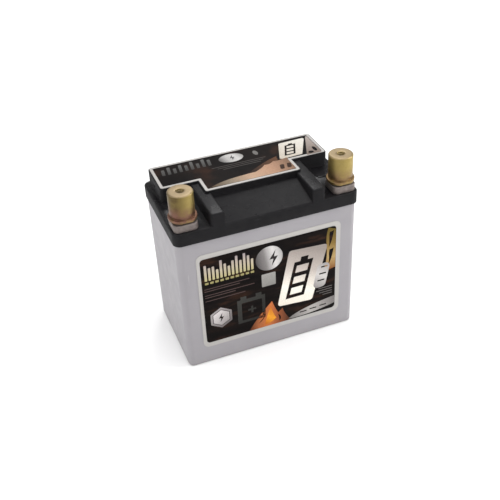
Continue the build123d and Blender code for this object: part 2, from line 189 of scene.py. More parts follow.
class Finish:
    """One procedural material, built node by node. Its texture space is the piece's own, in metres."""

    def __init__(self, name, roughness=0.5, metallic=0.0, **constants):
        self.material = bpy.data.materials.new(name)
        self.material.use_nodes = True
        self.tree = self.material.node_tree
        self.shader = self.tree.nodes["Principled BSDF"]
        self.shader.inputs["Roughness"].default_value = roughness
        self.shader.inputs["Metallic"].default_value = metallic
        for key, value in constants.items():
            self.shader.inputs[key.replace("_", " ")].default_value = value
        self.place = self.node("ShaderNodeTexCoord").outputs["Object"]
        self.normal = None

    def feed(self, socket, value):
        """Links a socket to another node's output, or sets it to a plain value."""
        if isinstance(value, bpy.types.NodeSocket):
            self.tree.links.new(value, socket)
        else:
            socket.default_value = value

    def node(self, kind, inputs=None, **settings):
        """Adds one node, sets its settings and feeds its inputs."""
        made = self.tree.nodes.new(kind)
        for key, value in settings.items():
            setattr(made, key, value)
        for key, value in (inputs or {}).items():
            self.feed(made.inputs[key], value)
        return made

    def vector(self, operation, first, second=(0, 0, 0)):
        """Adds one step of vector arithmetic."""
        return self.node("ShaderNodeVectorMath", {0: first, 1: second}, operation=operation)

    def sum(self, operation, first, second=0.0):
        """One step of arithmetic, held between 0 and 1."""
        made = self.node("ShaderNodeMath", {0: first, 1: second}, operation=operation, use_clamp=True)
        return made.outputs[0]

    def noise(self, size, detail=3.0, stretch=(1, 1, 1), place=None):
        """Cloudy noise about 0.5, with features of a size in millimetres, drawn out by the stretch."""
        squeezed = self.vector("MULTIPLY", place or self.place, tuple(1 / s for s in stretch)).outputs[0]
        inputs = {"Vector": squeezed, "Scale": 1 / (size * MM), "Detail": detail}
        return self.node("ShaderNodeTexNoise", inputs).outputs[0]

    def span(self, value, low, high, start=0.0, end=1.0):
        """A value as it goes from low to high, turned into a clamped run from start to end."""
        inputs = {"Value": value, "From Min": low, "From Max": high, "To Min": start, "To Max": end}
        return self.node("ShaderNodeMapRange", inputs).outputs[0]

    def along(self, start, end):
        """A clamped run from 0 to 1 between two points in the piece's space."""
        step = Vector(end) - Vector(start)
        offset = self.vector("SUBTRACT", self.place, tuple(start)).outputs[0]
        share = self.vector("DOT_PRODUCT", offset, tuple(step / step.length_squared)).outputs["Value"]
        return self.span(share, 0, 1)

    def rings(self):
        """The distance from the piece's own Z axis and the height, as a place for turned marks."""
        flat = self.vector("MULTIPLY", self.place, (1, 1, 0))
        radius = self.vector("LENGTH", flat.outputs[0]).outputs["Value"]
        height = self.node("ShaderNodeSeparateXYZ", {0: self.place}).outputs["Z"]
        return self.node("ShaderNodeCombineXYZ", {0: radius, 1: height}).outputs[0]

    def mix(self, share, first, second, blend="MIX"):
        """A blend of two colours."""
        made = self.node("ShaderNodeMix", data_type="RGBA", blend_type=blend)
        for index, value in ((0, share), (6, first), (7, second)):
            self.feed(made.inputs[index], value)
        return made.outputs[2]

    def ramp(self, share, stops):
        """A colour from a list of (place, colour) stops."""
        made = self.node("ShaderNodeValToRGB", {0: share})
        elements = made.color_ramp.elements
        while len(elements) < len(stops):
            elements.new(1.0)
        for element, (position, colour) in zip(elements, stops):
            element.position = position
            element.color = colour
        return made.outputs[0]

    def edges(self):
        """1 on the softened edges of a piece and 0 elsewhere."""
        return self.node("ShaderNodeAttribute", attribute_name="edge").outputs["Fac"]

    def upward(self):
        """1 on faces that look up and 0 on walls."""
        normal = self.node("ShaderNodeNewGeometry").outputs["Normal"]
        return self.span(self.node("ShaderNodeSeparateXYZ", {0: normal}).outputs["Z"], 0.3, 1.0)

    def colour(self, value):
        self.feed(self.shader.inputs["Base Color"], value)

    def rough(self, value):
        self.feed(self.shader.inputs["Roughness"], value)

    def bump(self, height, depth, strength=0.5):
        """Presses a height pattern into the surface, a depth in millimetres."""
        inputs = {"Height": height, "Distance": depth * MM, "Strength": strength}
        if self.normal:
            inputs["Normal"] = self.normal
        self.normal = self.node("ShaderNodeBump", inputs).outputs[0]
        self.feed(self.shader.inputs["Normal"], self.normal)


def case_plastic():
    """Grey polypropylene: fine moulded grain, faint flow clouds, light scuffs, and grime near the foot."""
    finish = Finish("case_plastic", Specular_IOR_Level=0.35)
    body = finish.mix(finish.noise(28), srgb(142, 139, 143), srgb(155, 152, 155))
    scuffs = finish.span(finish.noise(2.0, 5, stretch=(1, 1, 7)), 0.66, 0.78, 0, 0.3)
    scuffs = finish.sum("MULTIPLY", scuffs, finish.span(finish.noise(34), 0.50, 0.62))
    body = finish.mix(scuffs, body, srgb(190, 188, 190))
    grime = finish.sum("MULTIPLY", finish.along((0, 0, 0.007), (0, 0, 0)), finish.noise(5))
    finish.colour(finish.mix(finish.sum("MULTIPLY", grime, 0.4), body, srgb(122, 117, 112)))
    finish.rough(finish.span(finish.noise(9), 0.3, 0.7, 0.42, 0.56))
    finish.bump(finish.noise(0.55, 2), 0.05, 0.35)
    finish.bump(finish.noise(26, 1), 0.35, 0.12)
    return finish.material


def lid_plastic():
    """Black polypropylene: semi-gloss tops, finely grained walls, a little dust, and edges rubbed paler."""
    finish = Finish("lid_plastic", Specular_IOR_Level=0.15)
    body = finish.mix(finish.noise(18), srgb(17, 16, 18), srgb(24, 23, 25))
    dust = finish.sum("MULTIPLY", finish.upward(), finish.span(finish.noise(6, 5), 0.45, 0.75, 0, 0.05))
    body = finish.mix(dust, body, srgb(84, 82, 80))
    patches = finish.span(finish.noise(2.5, 4), 0.40, 0.62, 0.1, 0.6)
    rubbed = finish.sum("MULTIPLY", finish.edges(), patches)
    body = finish.mix(rubbed, body, srgb(66, 66, 69))
    scratch = finish.span(finish.noise(1.6, 5, stretch=(7, 1, 1)), 0.68, 0.74, 0, 0.3)
    finish.colour(finish.mix(scratch, body, srgb(58, 57, 58)))
    gloss = finish.span(finish.noise(7, 4), 0.3, 0.7, 0.0, 0.12)
    finish.rough(finish.sum("ADD", gloss, finish.span(finish.upward(), 0.2, 0.9, 0.62, 0.24)))
    finish.bump(finish.noise(0.4, 2), 0.04, 0.3)
    return finish.material


# How strongly each post's left flank is darkened with painted shade and its foot browned, and where the
# painted shade, the browning and the painted top highlight fade, in metres.
POST_FLANK_SHADE_AND_FOOT_BROWNING = {"positive": (1.0, 0.95), "negative": (0.4, 0.6)}
PAINTED_FLANK_SHADE_FADE = ((0.007, 0, 0), (-0.006, 0, 0))
FOOT_FADE = ((0, 0, 0.1535), (0, 0, 0.1455))
STUD_FADE = ((0, 0, 0.1390), (0, 0, 0.1410))
PAINTED_CROWN_HIGHLIGHT_FADE = ((0, 0, 0.150), (0, 0, 0.158))


def brass(name, flank_shade_share, foot_share):
    """Turned brass: tool rings, cloudy tarnish, painted shade on the left flank, brown at the foot, and a
    painted highlight that pales the upward faces at the top.
    """
    finish = Finish(name, metallic=1.0)
    cloud = finish.noise(5, 4)
    body = finish.mix(cloud, srgb(150, 132, 76), srgb(175, 156, 98))
    # Painted shade: the left flank is darkened towards -x, standing in for the dim side of the post.
    painted_flank_shade = finish.sum("MULTIPLY", finish.along(*PAINTED_FLANK_SHADE_FADE), finish.span(cloud, 0.2, 0.7, 0.7, 1))
    body = finish.mix(finish.sum("MULTIPLY", painted_flank_shade, flank_shade_share), body, srgb(84, 70, 46))
    foot = finish.sum("MULTIPLY", finish.along(*FOOT_FADE), finish.span(cloud, 0.2, 0.5))
    foot = finish.sum("MULTIPLY", foot, finish.along(*STUD_FADE))
    body = finish.mix(finish.sum("MULTIPLY", foot, foot_share), body, srgb(116, 84, 72))
    # Painted highlight: the upward faces near the top are painted paler, standing in for the bright
    # reflection on the post tops.
    painted_crown_highlight = finish.sum("MULTIPLY", finish.upward(), finish.along(*PAINTED_CROWN_HIGHLIGHT_FADE))
    body = finish.mix(finish.sum("MULTIPLY", painted_crown_highlight, 0.9), body, srgb(164, 146, 118))
    spots = finish.span(finish.noise(1.4, 5), 0.62, 0.72, 0, 0.4)
    finish.colour(finish.mix(spots, body, srgb(88, 70, 44)))
    finish.rough(finish.span(finish.noise(3, 4), 0.3, 0.7, 0.40, 0.54))
    finish.bump(finish.noise(0.22, 2, place=finish.rings()), 0.02, 0.5)
    return finish.material


def cast_lead():
    """Cast lead: dull grey, mottled with oxide, and slightly dented."""
    finish = Finish("lead", metallic=0.55)
    body = finish.mix(finish.noise(3, 5), srgb(82, 76, 74), srgb(146, 135, 130))
    bright = finish.sum("MULTIPLY", finish.edges(), finish.noise(1.2, 3))
    finish.colour(finish.mix(bright, body, srgb(150, 143, 140)))
    finish.rough(finish.span(finish.noise(2, 4), 0.3, 0.7, 0.5, 0.7))
    finish.bump(finish.noise(2.4, 4), 0.25, 0.4)
    return finish.material


def zinc_steel():
    """Zinc-plated spring steel: pale grey with a fine crystalline sparkle."""
    finish = Finish("spring_steel", metallic=1.0)
    finish.colour(finish.mix(finish.noise(0.8, 4), srgb(150, 151, 156), srgb(196, 197, 200)))
    finish.rough(finish.span(finish.noise(1.5, 4), 0.3, 0.7, 0.28, 0.45))
    finish.bump(finish.noise(0.5, 3), 0.03, 0.3)
    return finish.material


def plain_stuff(name, first, second, size, roughness, depth, **constants):
    """A stuff of two mixed tones with a surface relief, for the small pieces and those inside."""
    finish = Finish(name, **constants)
    cloud = finish.noise(size, 5)
    finish.colour(finish.mix(finish.span(cloud, 0.35, 0.65), first, second))
    finish.rough(finish.span(cloud, 0.3, 0.7, roughness - 0.06, roughness + 0.06))
    finish.bump(cloud, depth, 0.5)
    return finish.material


def glass_mat():
    """White glass-fibre mat: fine crossed strands."""
    finish = Finish("glass_mat", roughness=0.9)
    lengthwise = finish.noise(0.6, 3, stretch=(1, 12, 1))
    upright = finish.noise(0.6, 3, stretch=(1, 1, 12))
    strands = finish.sum("MAXIMUM", lengthwise, upright)
    finish.colour(finish.mix(finish.span(strands, 0.45, 0.7), srgb(206, 205, 198), srgb(240, 240, 236)))
    finish.bump(strands, 0.1, 0.6)
    return finish.material


def silver_film():
    """Satin silver film: the border that shows round each print."""
    finish = Finish("silver_film", metallic=0.25, Specular_IOR_Level=0.4)
    finish.colour(finish.mix(finish.noise(1.2, 4), srgb(165, 162, 158), srgb(181, 178, 175)))
    finish.rough(finish.span(finish.noise(6, 3), 0.3, 0.7, 0.34, 0.46))
    finish.bump(finish.noise(14, 2), 0.1, 0.15)
    return finish.material


def make_materials():
    """One material for each of the record's slots."""
    return {
        "case_plastic": case_plastic(),
        "lid_plastic": lid_plastic(),
        "label_print": silver_film(),
        "brass": brass("brass", *POST_FLANK_SHADE_AND_FOOT_BROWNING["negative"]),
        "spring_steel": zinc_steel(),
        "lead": cast_lead(),
        "epoxy": plain_stuff(
            "epoxy", srgb(26, 24, 28), srgb(44, 40, 46), 4, 0.2, 0.15, Specular_IOR_Level=0.6
        ),
        "valve_rubber": plain_stuff("valve_rubber", srgb(24, 24, 25), srgb(40, 39, 40), 1.2, 0.7, 0.05),
        "porous_disc": plain_stuff("porous_disc", srgb(196, 194, 184), srgb(232, 231, 224), 0.5, 0.9, 0.2),
        "positive_plate": plain_stuff("positive_plate", srgb(74, 46, 30), srgb(112, 72, 48), 1.5, 0.9, 0.25),
        "negative_plate": plain_stuff(
            "negative_plate", srgb(104, 106, 110), srgb(140, 142, 146), 1.5, 0.85, 0.2
        ),
        "glass_mat": glass_mat(),
    }


# ---------------------------------------------------------------- pieces
# Points nearer than this, in metres, are one.
WELD = 1e-6
INK_WELD = 1e-7
FLAT_ANGLE = math.radians(0.4)
SHARP_ANGLE = math.radians(28)
CREASE_ANGLE = math.radians(35)
# The widths of softened edges, in millimetres.
LID_EDGE = 0.35
COVER_EDGE = 0.25
TERMINAL_EDGE = 0.4
WASHER_EDGE = 0.15
CAP_EDGE = 0.25
VALVE_CAPS = 6


def add_piece(name, mesh, body, material):
    """Puts a finished mesh in the scene, riding on a body, with its material."""
    mesh.materials.clear()
    mesh.materials.append(material)
    piece = add_object(name, mesh)
    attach(piece, body)
    return piece


def shade(bm):
    """Smooth faces with a crease where neighbouring faces meet at more than the crease angle."""
    for face in bm.faces:
        face.smooth = True
    for edge in bm.edges:
        edge.smooth = not (edge.is_manifold and edge.calc_face_angle(0) > CREASE_ANGLE)


def soften(node, width, slot, materials):
    """Stands in for a CAD node with the same shape and softened edges, a width in millimetres."""
    source = frame["nodes"][node]
    bm = bmesh.new()
    bm.from_mesh(source.data)
    bmesh.ops.remove_doubles(bm, verts=bm.verts, dist=WELD)
    bmesh.ops.dissolve_limit(bm, angle_limit=FLAT_ANGLE, verts=bm.verts, edges=bm.edges)
    worn = bm.faces.layers.float.new("edge")
    sharp = [e for e in bm.edges if e.is_manifold and e.calc_face_angle(0) > SHARP_ANGLE]
    made = bmesh.ops.bevel(
        bm, geom=sharp, offset=width * MM, segments=2, profile=0.5, affect="EDGES", clamp_overlap=True
    )
    for face in made["faces"]:
        face[worn] = 1.0
    shade(bm)
    mesh = bpy.data.meshes.new(f"{node}_softened")
    bm.to_mesh(mesh)
    bm.free()
    piece = add_piece(f"{node}_softened", mesh, source["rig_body"], materials[slot])
    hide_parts(node)


def finish_cad_nodes(materials):
    """Gives every CAD node that still shows the material of its slot."""
    for part in frame["record"]["subparts"]:
        source = frame["nodes"][part["node"]]
        source.data.materials.clear()
        source.data.materials.append(materials[part["material_slot"]])


# ---------------------------------------------------------------- brass posts
POST_SEGMENTS = 96
STUD_THREAD = {"crest": 4.0, "depth": 0.68, "pitch": 1.25}
HOLE_THREAD = {"crest": 3.05, "depth": 0.55, "pitch": 1.0}
THREAD_STEPS = 10
FLANK_GAIN = 1.25
ROOT_FLAT = 0.1
STUD_LEAD_IN = 0.6
STUD_NECK = 1.6
COLLAR_HEIGHT = 2.5
COLLAR_RADIUS = 11.0
COLLAR_HALF_FLATS = 10.0
BARREL_RADIUS = 9.6
HOLE_DEPTH = 14.0
HOLE_PLAIN = 1.0


def thread_row(thread, height):
    """A ring's radius round a thread with flat crests and roots, as a function of the angle."""
    def radius(angle):
        phase = (height / thread["pitch"] - angle / TURN) % 1
        ridge = min(max(FLANK_GAIN * (1 - abs(2 * phase - 1)) - ROOT_FLAT, 0), 1)
        return thread["crest"] - thread["depth"] * (1 - ridge)
    return radius


def thread_rows(thread, start, end):
    """The rings of a thread from one height to another, up or down."""
    count = round(abs(end - start) / thread["pitch"] * THREAD_STEPS)
    stride = math.copysign(thread["pitch"] / THREAD_STEPS, end - start)
    heights = [start + step * stride for step in range(count + 1)]
    return [(height, thread_row(thread, height)) for height in heights]


def collar_row(height, inset):
    """A ring of the collar, drawn in by an inset and cut by the two spanner flats."""
    def radius(angle):
        return min(COLLAR_RADIUS - inset, (COLLAR_HALF_FLATS - inset) / max(abs(math.sin(angle)), 1e-6))
    return (height, radius)


def post_rows(bottom, top):
    """The turned profile: (height, radius) rings in millimetres from the stud's tip to the hole's floor."""
    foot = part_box("positive_washer")[1].z / MM
    head = foot + COLLAR_HEIGHT
    floor = top - HOLE_DEPTH
    rows = [(bottom, 2.4), (bottom, 3.1)]
    rows += thread_rows(STUD_THREAD, bottom + STUD_LEAD_IN, foot - STUD_NECK)
    rows += [(foot - 1.3, 3.25), (foot - 0.2, 3.25), (foot, 3.5)]
    rows += [collar_row(foot + rise, inset) for rise, inset in ((0, 1.2), (0, 0.4), (0.12, 0.12), (0.4, 0))]
    rows += [collar_row(head - drop, inset) for drop, inset in ((0.4, 0), (0.12, 0.12), (0, 0.4))]
    rows += [(head, 9.55), (head + 0.08, 9.3), (head + 0.5, 9.25), (head + 0.75, 9.52)]
    rows += [(head + rise, BARREL_RADIUS) for rise in (0.9, 6.0, 12.0)] + [(top - 1.0, BARREL_RADIUS)]
    rows += [(top - 0.84, 9.58), (top - 0.72, 9.5), (top - 0.14, 8.92), (top - 0.04, 8.78)]
    rows += [(top, radius) for radius in (8.6, 7.0, 5.2, 3.6)]
    rows += [(top - 0.05, 3.42), (top - 0.18, 3.25), (top - 0.6, 2.9)]
    rows += thread_rows(HOLE_THREAD, top - HOLE_PLAIN, floor + HOLE_PLAIN)
    rows += [(floor + 0.7, 2.5), (floor + 0.1, 2.4)]
    return rows


def make_post(pole, material):
    """Turns one brass post with a real thread on its stud and in its hole."""
    low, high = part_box(f"{pole}_post")
    axis = (low + high) / 2
    bm = bmesh.new()
    rings = []
    for height, radius in post_rows(low.z / MM, high.z / MM):
        ring = []
        for step in range(POST_SEGMENTS):
            angle = step * TURN / POST_SEGMENTS
            reach = (radius(angle) if callable(radius) else radius) * MM
            ring.append(bm.verts.new((reach * math.cos(angle), reach * math.sin(angle), height * MM)))
        rings.append(ring)
    for lower, upper in zip(rings, rings[1:]):
        for step in range(POST_SEGMENTS):
            after = (step + 1) % POST_SEGMENTS
            bm.faces.new((lower[step], lower[after], upper[after], upper[step]))
    bm.faces.new(reversed(rings[0]))
    bm.faces.new(rings[-1])
    shade(bm)
    mesh = bpy.data.meshes.new(f"{pole}_post_turned")
    bm.to_mesh(mesh)
    bm.free()
    mesh.materials.append(material)
    piece = add_object(f"{pole}_post_turned", mesh)
    piece.location = (axis.x, axis.y, 0)
    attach(piece, f"{pole}_post")
    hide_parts(f"{pole}_post")


# ---------------------------------------------------------------- label prints
# Lengths are in millimetres, and each layer of ink stands a step above the one under it.
INK_THICKNESS = 0.05
INK_STEP = 0.04
SPECKLE = 0.12
INK_ROUGHNESS = 0.35
FRONT_FIELD_INSET = (3.2, 4.1)
FRONT_FIELD_CORNER = 3.0
FRONT_PRINT_SHIFT = -0.5
TOP_FIELD_INSET = 2.3
TOP_FIELD_CORNER = 0.8
TAB_HALF = 39.1
BLOCK_FRONT = 5.6
SHEAR = 0.24
TOP_SHEAR = 0.42
CORNER_STEPS = 5
CURVE_STEPS = 14


class Label:
    """A printed label: the flat face of a CAD label, with ink laid on it in thin layers.

    Outlines are in millimetres from the middle of the print, to the right and up as it is read.
    """

    def __init__(self, node, out, up, shift=0.0):
        low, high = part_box(node)
        middle = (low + high) / 2
        mesh = frame["nodes"][node].data
        face = max((p for p in mesh.polygons if p.normal.dot(Vector(out)) > 0.9), key=lambda p: p.area)
        normal = face.normal.normalized()
        right = Vector(up).cross(normal).normalized()
        rise = normal.cross(right)
        middle -= normal * (middle - face.center).dot(normal)
        middle += right * shift * MM
        self.place = Matrix.Translation(middle) @ Matrix((right, rise, normal)).transposed().to_4x4()
        self.body = frame["nodes"][node]["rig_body"]
        self.size = ((high - low).x / MM, (high - low).dot(Vector(up)) / MM)

    def point(self, across, rise):
        """A point of the label in the row frame, for a gradient."""
        return self.place @ Vector((across * MM, rise * MM, 0))

    def stamp(self, layer, name, outlines, material):
        """Lays one material on the label. An outline inside another is a hole."""
        curve = bpy.data.curves.new(name, "CURVE")
        curve.dimensions = "2D"
        curve.fill_mode = "BOTH"
        curve.extrude = INK_THICKNESS * MM / 2
        for outline in outlines:
            spline = curve.splines.new("POLY")
            spline.points.add(len(outline) - 1)
            for point, (across, rise) in zip(spline.points, outline):
                point.co = (across * MM, rise * MM, 0, 1)
            spline.use_cyclic_u = True
        drawn = bpy.data.objects.new(name, curve)
        mesh = bpy.data.meshes.new_from_object(drawn)
        bpy.data.objects.remove(drawn)
        height = (INK_STEP * layer - INK_THICKNESS / 2) * MM
        mesh.transform(self.place @ Matrix.Translation((0, 0, height)))
        mesh.name = name
        bm = bmesh.new()
        bm.from_mesh(mesh)
        bmesh.ops.remove_doubles(bm, verts=bm.verts, dist=INK_WELD)
        bmesh.ops.recalc_face_normals(bm, faces=bm.faces)
        bm.to_mesh(mesh)
        bm.free()
        add_piece(name, mesh, self.body, material)

    def draw(self, layer, name, outlines, ink_name, *colours, start=(0, 0), end=(0, 1), metallic=0.0):
        """Lays a shape on the label in an ink whose colours run between two points of the label."""
        self.stamp(layer, name, outlines, ink(ink_name, self, colours, start, end, metallic))


def ink(name, label, colours, start, end, metallic):
    """A printing ink whose colour runs between two points of the label, with a fine printed speckle."""
    finish = Finish(name, metallic=metallic, Specular_IOR_Level=0.08)
    last = max(len(colours) - 1, 1)
    stops = [(k / last, srgb(*colours[min(k, len(colours) - 1)])) for k in range(last + 1)]
    toned = finish.ramp(finish.along(label.point(*start), label.point(*end)), stops)
    dots = finish.span(finish.noise(0.7, 3), 0.35, 0.65, 1 - SPECKLE, 1 + SPECKLE)
    speckle = finish.node("ShaderNodeCombineXYZ", {0: dots, 1: dots, 2: dots}).outputs[0]
    finish.colour(finish.mix(1.0, toned, speckle, "MULTIPLY"))
    finish.rough(finish.span(finish.noise(12), 0.3, 0.7, INK_ROUGHNESS - 0.05, INK_ROUGHNESS + 0.05))
    finish.bump(finish.noise(14, 2), 0.12, 0.15)
    return finish.material


def field_ink(name):
    """The black ground of a label, warmed by faint brown streaks."""
    finish = Finish(name, Specular_IOR_Level=0.05)
    streaks = finish.noise(5, 4, stretch=(5, 5, 1.2))
    body = finish.ramp(streaks, [(0.35, srgb(9, 6, 6)), (0.55, srgb(18, 12, 10)), (0.75, srgb(52, 32, 22))])
    finish.colour(body)
    finish.rough(finish.span(finish.noise(12), 0.3, 0.7, 0.28, 0.38))
    finish.bump(finish.noise(14, 2), 0.12, 0.15)
    return finish.material


# ---------------------------------------------------------------- outlines
def rounded(corners, radius):
    """A closed outline through the corners, each rounded to a radius."""
    outline = []
    count = len(corners)
    for k, corner in enumerate(corners):
        here = Vector(corner)
        before = (Vector(corners[k - 1]) - here).normalized()
        after = (Vector(corners[(k + 1) % count]) - here).normalized()
        half = before.angle(after) / 2
        reach = radius / math.tan(half)
        centre = here + (before + after).normalized() * radius / math.sin(half)
        first = here + before * reach - centre
        last = here + after * reach - centre
        for step in range(CORNER_STEPS + 1):
            way = first.slerp(last, step / CORNER_STEPS).normalized() * radius
            outline.append(tuple(centre + way))
    return outline


def rectangle(left, bottom, right, top, radius=0.0, lean=0.0):
    """A rectangle, leaning to the right by a share of its height, with rounded corners."""
    shift = lean * (top - bottom)
    corners = [(left, bottom), (right, bottom), (right + shift, top), (left + shift, top)]
    return rounded(corners, radius) if radius else corners


def bars(left, base, width, pitch, heights, radius, lean=0.0):
    """Upright bars that stand in a row on one line."""
    places = [left + pitch * k for k in range(len(heights))]
    return [rectangle(x, base, x + width, base + h, radius, lean) for x, h in zip(places, heights)]


def ellipse(across, rise, half_width, half_height, steps=48):
    """An ellipse about a point."""
    angles = [k * TURN / steps for k in range(steps)]
    return [(across + half_width * math.cos(a), rise + half_height * math.sin(a)) for a in angles]


def bezier(first, pull_first, pull_last, last):
    """Points along a cubic curve, without the last one."""
    points = []
    for step in range(CURVE_STEPS):
        t = step / CURVE_STEPS
        weights = ((1 - t) ** 3, 3 * t * (1 - t) ** 2, 3 * t * t * (1 - t), t ** 3)
        points.append(tuple(
            sum(w * p[axis] for w, p in zip(weights, (first, pull_first, pull_last, last))) for axis in (0, 1)
        ))
    return points


def sweep(*curves):
    """A closed outline made of cubic curves that follow each other."""
    return [point for curve in curves for point in bezier(*curve)]


def bolt(across, rise, size):
    """A plain lightning bolt."""
    corners = [(0.12, 0.5), (-0.24, -0.06), (-0.02, -0.06), (-0.12, -0.5), (0.24, 0.08), (0.02, 0.08)]
    return [(across + size * x, rise + size * y) for x, y in corners]


def plus(across, rise, half, stroke):
    """A plus sign."""
    s = stroke / 2
    corners = [(-s, half), (-s, s), (-half, s), (-half, -s), (-s, -s), (-s, -half)]
    corners += [(-x, -y) for x, y in corners]
    return [(across + x, rise + y) for x, y in corners]


def gauge(left, bottom, width, height, lean):
    """A leaning battery with a cap, and three charge bars standing in it."""
    def place(corners):
        return [(left + width * x + lean * height * y, bottom + height * y) for x, y in corners]

    shell = [(0, 0), (1, 0), (1, 0.9), (0.7, 0.9), (0.7, 1), (0.3, 1), (0.3, 0.9), (0, 0.9)]
    charge = [rectangle(0.18, low, 0.82, low + 0.17) for low in (0.09, 0.36, 0.63)]
    return [place(shell)] + [place(bar) for bar in charge]


def hexagon(across, rise, radius, corner):
    """A hexagon that stands on a point, with rounded corners."""
    angles = [k * TURN / 6 for k in range(6)]
    points = [(across + radius * math.sin(a), rise + radius * math.cos(a)) for a in angles]
    return rounded(points, corner)


# ---------------------------------------------------------------- front print
def print_front_marks(label):
    """Charge-level bars and steps at the top left, and thin rules where small print would be."""
    heights = (15.0, 12.0, 12.5, 9.0, 16.5, 12.5, 9.5, 13.5, 17.0, 12.0, 17.5, 14.5, 10.5)
    label.draw(2, "front_charge_bars", bars(-54.5, 20.6, 2.0, 3.2, heights, 0.6), "charge_bar_ink",
               (176, 168, 116), (184, 172, 150), (158, 146, 146), start=(0, 19), end=(0, 37))
    label.draw(2, "front_charge_steps", bars(-54.5, 17.2, 2.9, 4.2, [2.0] * 10, 0.5), "charge_step_ink",
               (150, 142, 96))

    ends = ((12.4, -18), (10.2, -26), (6.2, -14), (4.0, -30), (0.6, -22))
    rules = [rectangle(-55.5, rise, right, rise + 0.8) for rise, right in ends]
    label.draw(2, "front_dim_rules", rules, "dim_rule_ink", (72, 58, 56))
    starts = ((-18.0, 42), (-20.4, 40), (-22.8, 43), (-25.2, 46))
    rules = [rectangle(left, rise, 54.5, rise + 0.8) for rise, left in starts]
    label.draw(2, "front_small_rules", rules, "small_rule_ink", (92, 88, 86))


def print_front_middle(label):
    """A disc with a bolt, a small square, and a slanted panel with a battery gauge cut in it."""
    label.draw(2, "front_disc", [ellipse(-0.7, 26.9, 11.4, 11.4)], "disc_ink",
               (78, 74, 74), (126, 122, 121), (206, 203, 201), (158, 156, 154),
               start=(-12, 25), end=(11, 29), metallic=0.1)
    label.draw(3, "front_bolt", [bolt(3.0, 26.4, 15.0)], "bolt_ink", (44, 40, 40))
    label.draw(2, "front_square", [rectangle(-7.8, 0.2, 4.2, 12.6, 0.8)], "square_ink",
               (132, 130, 126), (150, 148, 144), end=(0, 12.6))

    panel = rounded([(5.2, -24.2), (36.2, -26.6), (50.2, 26.4), (16.4, 28.6)], 2.6)
    label.draw(2, "front_panel", [panel] + gauge(12.4, -19.0, 16.5, 39.0, SHEAR), "panel_ink",
               (226, 216, 202), (238, 232, 220), (184, 174, 167), (146, 137, 131),
               start=(8, -25), end=(30, 28))


def claw(top):
    """One dark claw mark of the gold streak."""
    return sweep(
        ((51.6, top), (50.4, top - 6), (52.2, top - 9), (50.6, top - 15)),
        ((50.6, top - 15), (53.4, top - 11), (54.4, top - 5), (55.4, top + 1)),
        ((55.4, top + 1), (54.0, top), (53.0, top), (51.6, top)),
    )


def print_front_right(label):
    """A gold streak down the right edge, and a silver pill over the panel."""
    streak = sweep(
        ((50.5, 41.4), (45.5, 28.0), (53.5, 16.0), (45.5, -1.5)),
        ((45.5, -1.5), (49.0, -1.0), (52.0, 0.0), (57.0, 1.0)),
        ((57.0, 1.0), (57.2, 14.0), (57.2, 28.0), (57.0, 41.4)),
    )
    label.draw(2, "front_gold_streak", [streak, claw(37.0), claw(20.0)], "gold_ink",
               (120, 66, 30), (172, 146, 98), (124, 100, 52), (92, 78, 34),
               start=(50, -1), end=(53, 40), metallic=0.2)

    pill = rounded([(36.6, -16.6), (48.0, -15.6), (52.8, 8.4), (41.4, 7.4)], 3.8)
    starts = [(41.0 + 1.3 * k, -9.6 + 6.6 * k) for k in range(3)]
    slits = [rectangle(left, low, left + 6.6, low + 1.4, 0.6) for left, low in starts]
    label.draw(3, "front_badge_pill", [pill] + slits, "pill_ink",
               (132, 128, 126), (196, 192, 190), (140, 136, 134), start=(37, -16), end=(52, 9))


def print_front_badges(label):
    """A dim battery with a plus sign, and a hexagon badge with a bolt."""
    outline = [
        (-29.5, -31.0), (-5.5, -31.0), (-5.5, -7.0), (-8.5, -7.0), (-8.5, -4.0), (-13.5, -4.0),
        (-13.5, -7.0), (-21.5, -7.0), (-21.5, -4.0), (-26.5, -4.0), (-26.5, -7.0), (-29.5, -7.0),
    ]
    hollow = rectangle(-25.8, -28.4, -8.2, -10.6, 0.8)
    label.draw(2, "front_ghost_battery", [outline, hollow, plus(-17.0, -19.0, 3.4, 1.8)], "ghost_ink",
               (30, 29, 27), (58, 58, 55), start=(-6, -31), end=(-29, -5))

    middle = (-43.5, -18.9)
    label.draw(2, "front_badge_hexagon", [hexagon(*middle, 10.4, 0.8), hexagon(*middle, 8.4, 0.5)],
               "badge_rim_ink", (92, 86, 86), (160, 154, 153), start=(-34, -28), end=(-50, -10))
    label.draw(2, "front_badge_middle", [hexagon(*middle, 7.8, 0.5), bolt(*middle, 9.5)],
               "badge_ink", (146, 140, 139), (206, 200, 199), start=(-38, -24), end=(-48, -13))


